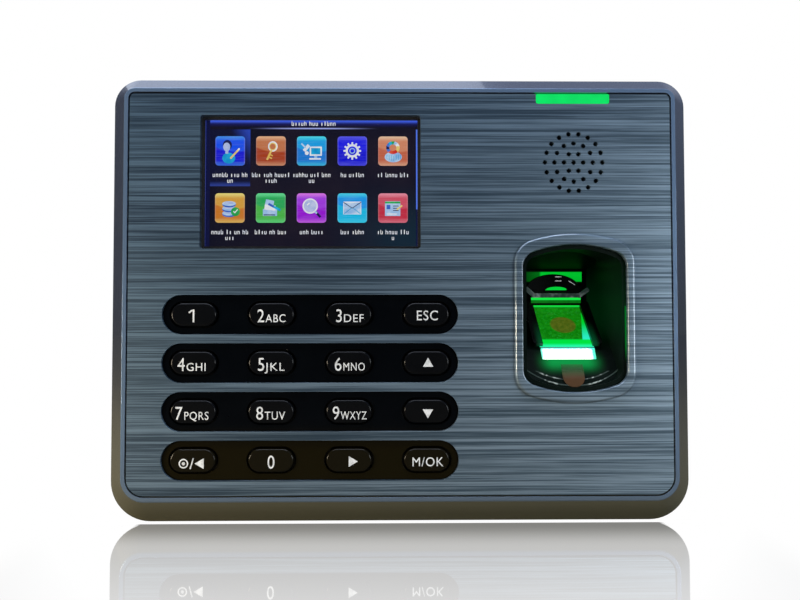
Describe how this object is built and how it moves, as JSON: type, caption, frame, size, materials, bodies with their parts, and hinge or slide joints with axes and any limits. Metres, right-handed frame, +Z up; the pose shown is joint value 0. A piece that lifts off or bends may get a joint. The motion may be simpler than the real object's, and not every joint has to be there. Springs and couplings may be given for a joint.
{
  "type": "fingerprint scanner terminal",
  "caption": "Wall-mounted fingerprint terminal with a colour screen, black keypad strips, speaker grille, status light and lit finger well.",
  "frame": {"origin": "middle of the footprint at the level of the case's lower face", "axes": "+X to the right seen from the front, -Y out of the front face, +Z up"},
  "size_m": [0.18, 0.037, 0.138],
  "materials": {
    "housing_shell": "gloss metallic lacquer on moulded plastic",
    "face_brushed": "brushed along X under gloss",
    "keypad_black": "piano black gloss",
    "key_black": "black gloss with printed legends",
    "window_clear": "clear hard-coated window",
    "lcd_glass": "lit liquid-crystal screen",
    "backlight_white": "white light guide",
    "black_foam": "closed-cell foam",
    "silicone_grey": "matte silicone",
    "circuit_green": "solder mask",
    "component_black": "moulded packages",
    "socket_metal": "nickel-plated shell",
    "socket_black": "moulded socket",
    "terminal_green": "moulded terminal block",
    "cell_steel": "plain steel can",
    "status_clear": "clear light guide",
    "well_black": "piano black gloss",
    "sensor_grey": "dark grey gloss",
    "prism_glass": "optical glass",
    "lamp_green": "lit diffuser",
    "film_red": "translucent film",
    "mesh_black": "woven dust mesh",
    "speaker_steel": "zinc-plated steel",
    "speaker_paper": "doped paper cone",
    "magnet_dark": "nickel-plated magnet",
    "cover_black": "fine texture",
    "plate_steel": "zinc-plated sheet",
    "screw_steel": "zinc-plated",
    "flex_amber": "polyimide film",
    "wire_red": "insulation",
    "pin_black": "moulded pin",
    "spring_steel": "spring wire"
  },
  "bodies": {
    "case": {"backup_cell": "cell_steel", "board_chips": "component_black", "board_screws": "screw_steel", "case_screws": "screw_steel", "cell_holder": "socket_black", "display_backlight": "backlight_white", "display_frame": "socket_metal", "display_gasket": "black_foam", "display_screen": "lcd_glass", "display_window": "window_clear", "face_panel": "face_brushed", "film_tab": "film_red", "finger_well": "well_black", "flat_cables": "flex_amber", "front_bezel": "housing_shell", "keypad_board": "circuit_green", "keypad_frame": "keypad_black", "keypad_mat": "silicone_grey", "main_board": "circuit_green", "network_socket": "socket_metal", "plate_lock_screw": "screw_steel", "power_socket": "socket_black", "rear_cover": "cover_black", "sensor_board": "circuit_green", "sensor_frame": "sensor_grey", "sensor_housing": "component_black", "sensor_led_bar": "lamp_green", "sensor_lens": "component_black", "sensor_prism": "prism_glass", "speaker_cone": "speaker_paper", "speaker_frame": "speaker_steel", "speaker_gasket": "black_foam", "speaker_leads": "wire_red", "speaker_magnet": "magnet_dark", "speaker_mesh": "mesh_black", "status_light_board": "circuit_green", "status_light_guide": "status_clear", "tamper_spring": "spring_steel", "tamper_switch": "component_black", "terminal_block": "terminal_green", "usb_socket": "socket_metal", "wall_plate": "plate_steel"},
    "key_1_cap": {"key_1": "key_black"},
    "key_2_cap": {"key_2": "key_black"},
    "key_3_cap": {"key_3": "key_black"},
    "key_esc_cap": {"key_esc": "key_black"},
    "key_4_cap": {"key_4": "key_black"},
    "key_5_cap": {"key_5": "key_black"},
    "key_6_cap": {"key_6": "key_black"},
    "key_up_cap": {"key_up": "key_black"},
    "key_7_cap": {"key_7": "key_black"},
    "key_8_cap": {"key_8": "key_black"},
    "key_9_cap": {"key_9": "key_black"},
    "key_down_cap": {"key_down": "key_black"},
    "key_power_cap": {"key_power": "key_black"},
    "key_0_cap": {"key_0": "key_black"},
    "key_right_cap": {"key_right": "key_black"},
    "key_ok_cap": {"key_ok": "key_black"},
    "tamper_pin": {"tamper_plunger": "pin_black"},
    "reset_pin": {"reset_button": "pin_black"}
  },
  "joints": [
    {"name": "key_1_press", "type": "slide", "parent": "case", "child": "key_1_cap", "axis": [0, 1, 0], "range_m": [0, 0.0008], "stiffness_N_per_m": 700, "deforming": ["keypad_mat"]},
    {"name": "key_2_press", "type": "slide", "parent": "case", "child": "key_2_cap", "axis": [0, 1, 0], "range_m": [0, 0.0008], "stiffness_N_per_m": 700, "deforming": ["keypad_mat"]},
    {"name": "key_3_press", "type": "slide", "parent": "case", "child": "key_3_cap", "axis": [0, 1, 0], "range_m": [0, 0.0008], "stiffness_N_per_m": 700, "deforming": ["keypad_mat"]},
    {"name": "key_esc_press", "type": "slide", "parent": "case", "child": "key_esc_cap", "axis": [0, 1, 0], "range_m": [0, 0.0008], "stiffness_N_per_m": 700, "deforming": ["keypad_mat"]},
    {"name": "key_4_press", "type": "slide", "parent": "case", "child": "key_4_cap", "axis": [0, 1, 0], "range_m": [0, 0.0008], "stiffness_N_per_m": 700, "deforming": ["keypad_mat"]},
    {"name": "key_5_press", "type": "slide", "parent": "case", "child": "key_5_cap", "axis": [0, 1, 0], "range_m": [0, 0.0008], "stiffness_N_per_m": 700, "deforming": ["keypad_mat"]},
    {"name": "key_6_press", "type": "slide", "parent": "case", "child": "key_6_cap", "axis": [0, 1, 0], "range_m": [0, 0.0008], "stiffness_N_per_m": 700, "deforming": ["keypad_mat"]},
    {"name": "key_up_press", "type": "slide", "parent": "case", "child": "key_up_cap", "axis": [0, 1, 0], "range_m": [0, 0.0008], "stiffness_N_per_m": 700, "deforming": ["keypad_mat"]},
    {"name": "key_7_press", "type": "slide", "parent": "case", "child": "key_7_cap", "axis": [0, 1, 0], "range_m": [0, 0.0008], "stiffness_N_per_m": 700, "deforming": ["keypad_mat"]},
    {"name": "key_8_press", "type": "slide", "parent": "case", "child": "key_8_cap", "axis": [0, 1, 0], "range_m": [0, 0.0008], "stiffness_N_per_m": 700, "deforming": ["keypad_mat"]},
    {"name": "key_9_press", "type": "slide", "parent": "case", "child": "key_9_cap", "axis": [0, 1, 0], "range_m": [0, 0.0008], "stiffness_N_per_m": 700, "deforming": ["keypad_mat"]},
    {"name": "key_down_press", "type": "slide", "parent": "case", "child": "key_down_cap", "axis": [0, 1, 0], "range_m": [0, 0.0008], "stiffness_N_per_m": 700, "deforming": ["keypad_mat"]},
    {"name": "key_power_press", "type": "slide", "parent": "case", "child": "key_power_cap", "axis": [0, 1, 0], "range_m": [0, 0.0008], "stiffness_N_per_m": 700, "deforming": ["keypad_mat"]},
    {"name": "key_0_press", "type": "slide", "parent": "case", "child": "key_0_cap", "axis": [0, 1, 0], "range_m": [0, 0.0008], "stiffness_N_per_m": 700, "deforming": ["keypad_mat"]},
    {"name": "key_right_press", "type": "slide", "parent": "case", "child": "key_right_cap", "axis": [0, 1, 0], "range_m": [0, 0.0008], "stiffness_N_per_m": 700, "deforming": ["keypad_mat"]},
    {"name": "key_ok_press", "type": "slide", "parent": "case", "child": "key_ok_cap", "axis": [0, 1, 0], "range_m": [0, 0.0008], "stiffness_N_per_m": 700, "deforming": ["keypad_mat"]},
    {"name": "tamper_press", "type": "slide", "parent": "case", "child": "tamper_pin", "axis": [0, -1, 0], "range_m": [0, 0.0015], "stiffness_N_per_m": 500, "deforming": ["tamper_spring"]},
    {"name": "reset_press", "type": "slide", "parent": "case", "child": "reset_pin", "axis": [0, -1, 0], "range_m": [0, 0.0005], "stiffness_N_per_m": 800}
  ]
}
